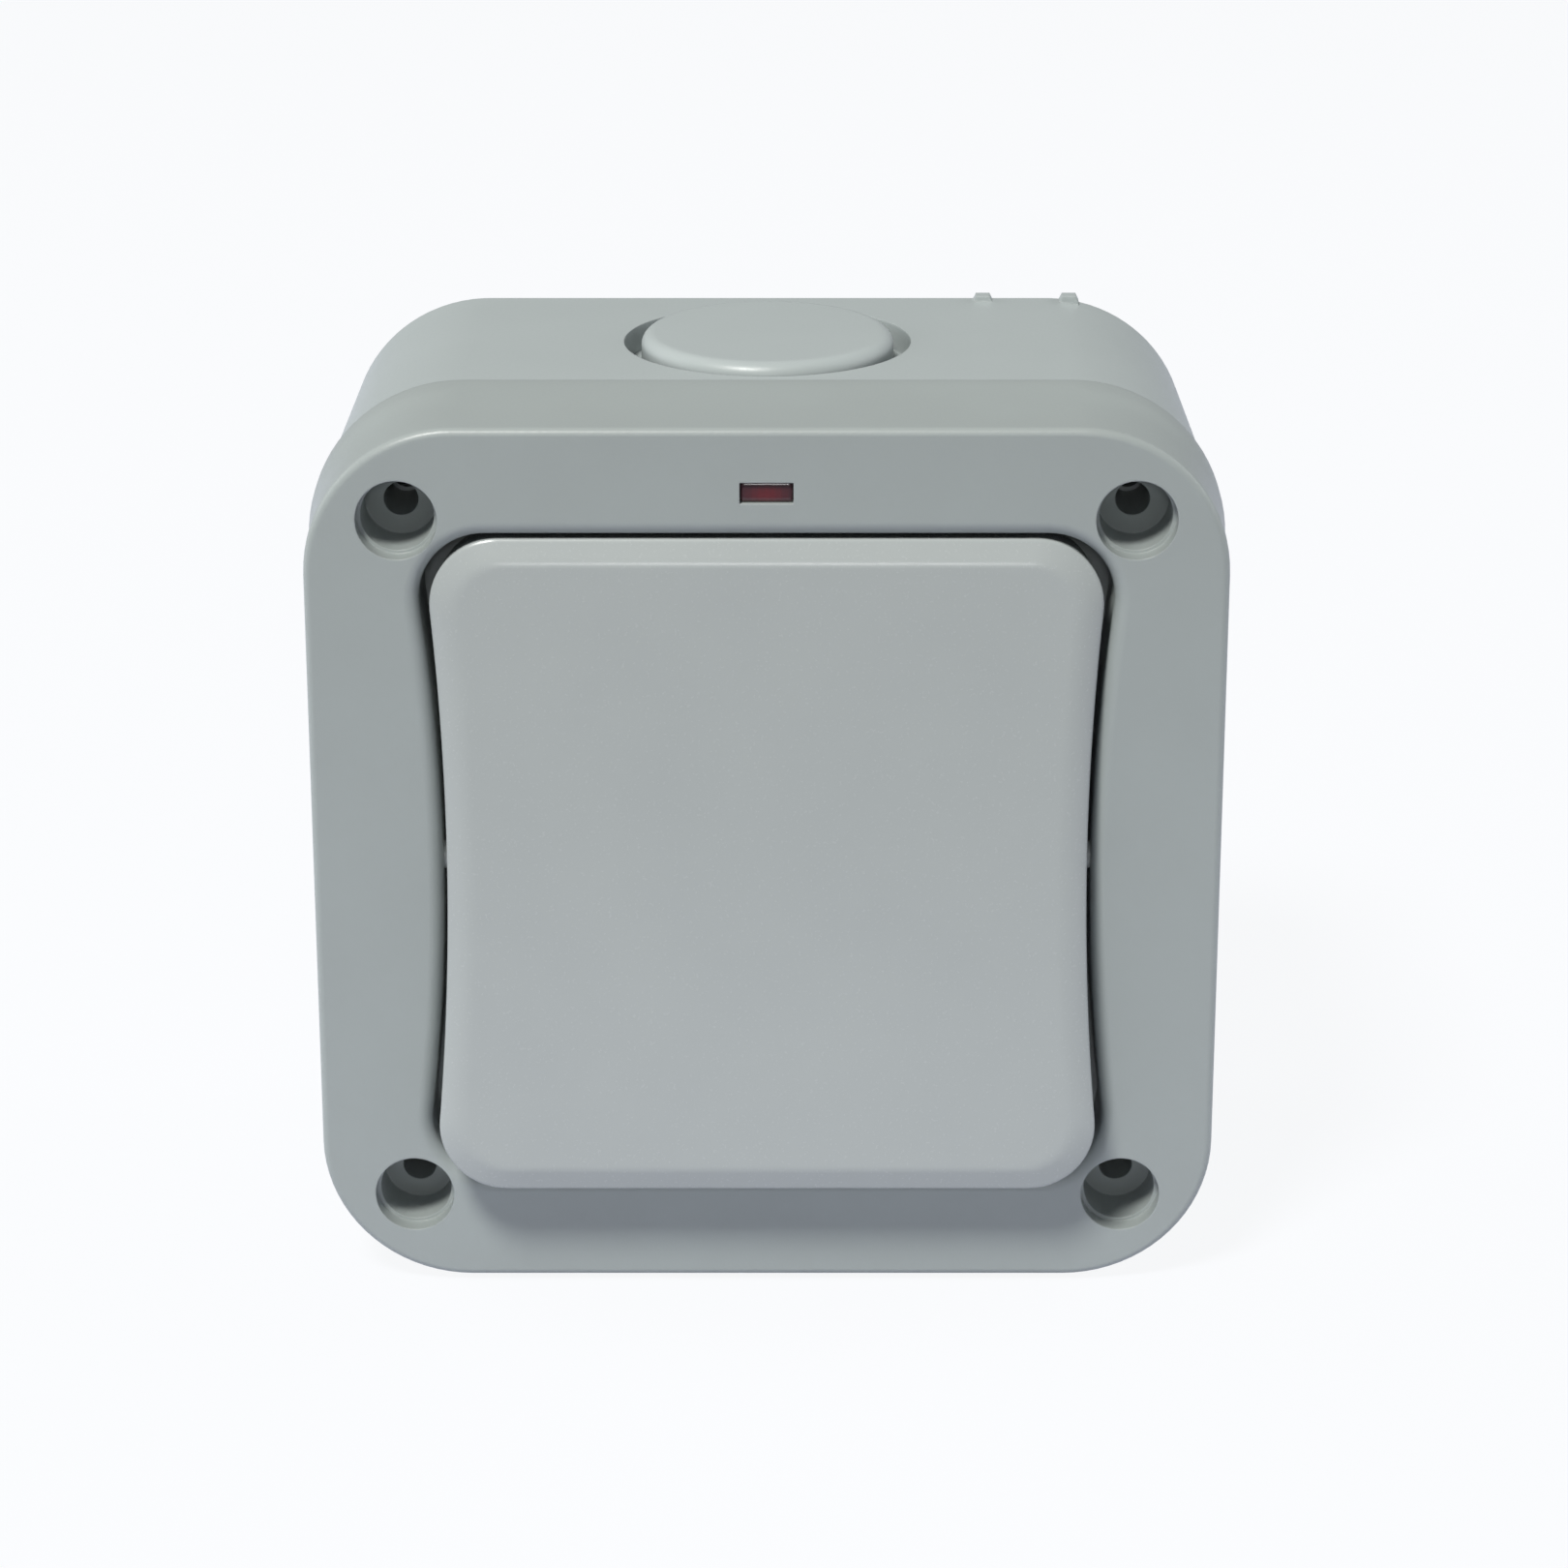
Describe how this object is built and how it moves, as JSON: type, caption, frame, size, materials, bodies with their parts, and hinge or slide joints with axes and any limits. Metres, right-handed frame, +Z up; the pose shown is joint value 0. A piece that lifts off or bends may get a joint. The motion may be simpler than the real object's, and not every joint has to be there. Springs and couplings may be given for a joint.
{
  "type": "outdoor weatherproof switch",
  "caption": "Square surface-mounted weatherproof wall switch with a large waisted rocker, a neon window, a screwed front cover and plugged cable entries.",
  "frame": {"origin": "centre of the box's back face, which lies on the wall", "axes": "+Y into the wall, +Z up, +X to the right as seen from the front"},
  "size_m": [0.0964, 0.0612, 0.0966],
  "materials": {
    "housing": "fine-textured moulded plastic",
    "rocker": "fine-textured moulded plastic",
    "seal": "matt elastomer",
    "lens": "clear red moulding",
    "lamp_glass": "drawn glass",
    "mechanism": "moulded thermoset",
    "dolly": "natural moulded plastic",
    "spring_steel": "drawn wire",
    "plated_steel": "zinc plated",
    "brass": "bright sawn and pressed",
    "copper": "pressed strip",
    "silver": "dull silver alloy",
    "lead_sleeve": "soft sleeve",
    "resistor": "dipped coating"
  },
  "bodies": {
    "enclosure": {"back_box": "housing", "box_gasket": "seal", "front_cover": "housing", "rocker_seal": "seal", "indicator_lens": "lens", "neon_lamp": "lamp_glass", "entry_plug_top": "housing", "entry_seal_top": "seal", "entry_plug_bottom": "housing", "entry_seal_bottom": "seal", "mechanism_lid": "mechanism", "switch_housing": "mechanism", "mechanism_screws": "plated_steel", "pivot_terminal_left": "brass", "fixed_terminal_left": "brass", "fixed_tip_left": "silver", "pivot_terminal_right": "brass", "fixed_terminal_right": "brass", "fixed_tip_right": "silver", "terminal_screws": "plated_steel", "earth_terminal": "brass", "earth_screw": "plated_steel", "lamp_leads": "lead_sleeve", "lamp_resistor": "resistor"},
    "rocker_body": {"rocker": "rocker"},
    "dolly_body": {"dolly": "dolly", "plunger_left": "dolly", "plunger_spring_left": "spring_steel", "plunger_right": "dolly", "plunger_spring_right": "spring_steel"},
    "contact_left_body": {"moving_contact_left": "copper", "moving_tip_left": "silver"},
    "contact_right_body": {"moving_contact_right": "copper", "moving_tip_right": "silver"}
  },
  "joints": [
    {"name": "rocker_tilt", "type": "hinge", "parent": "enclosure", "child": "rocker_body", "pos_m": [0, -0.0518, 0], "axis": [1, 0, 0], "range_deg": [0, 9]},
    {"name": "dolly_tilt", "type": "hinge", "parent": "enclosure", "child": "dolly_body", "pos_m": [0, -0.0333, 0], "axis": [1, 0, 0], "range_deg": [-18.75, 0]},
    {"name": "contact_left_tilt", "type": "hinge", "parent": "enclosure", "child": "contact_left_body", "pos_m": [-0.01, -0.02365, 0], "axis": [1, 0, 0], "range_deg": [0, 8]},
    {"name": "contact_right_tilt", "type": "hinge", "parent": "enclosure", "child": "contact_right_body", "pos_m": [0.01, -0.02365, 0], "axis": [1, 0, 0], "range_deg": [0, 8]}
  ],
  "couplings": [
    {"joint": "dolly_tilt", "follows": "rocker_tilt", "ratio": -2.0833},
    {"joint": "contact_left_tilt", "follows": "rocker_tilt", "ratio": 0.88889},
    {"joint": "contact_right_tilt", "follows": "rocker_tilt", "ratio": 0.88889}
  ]
}
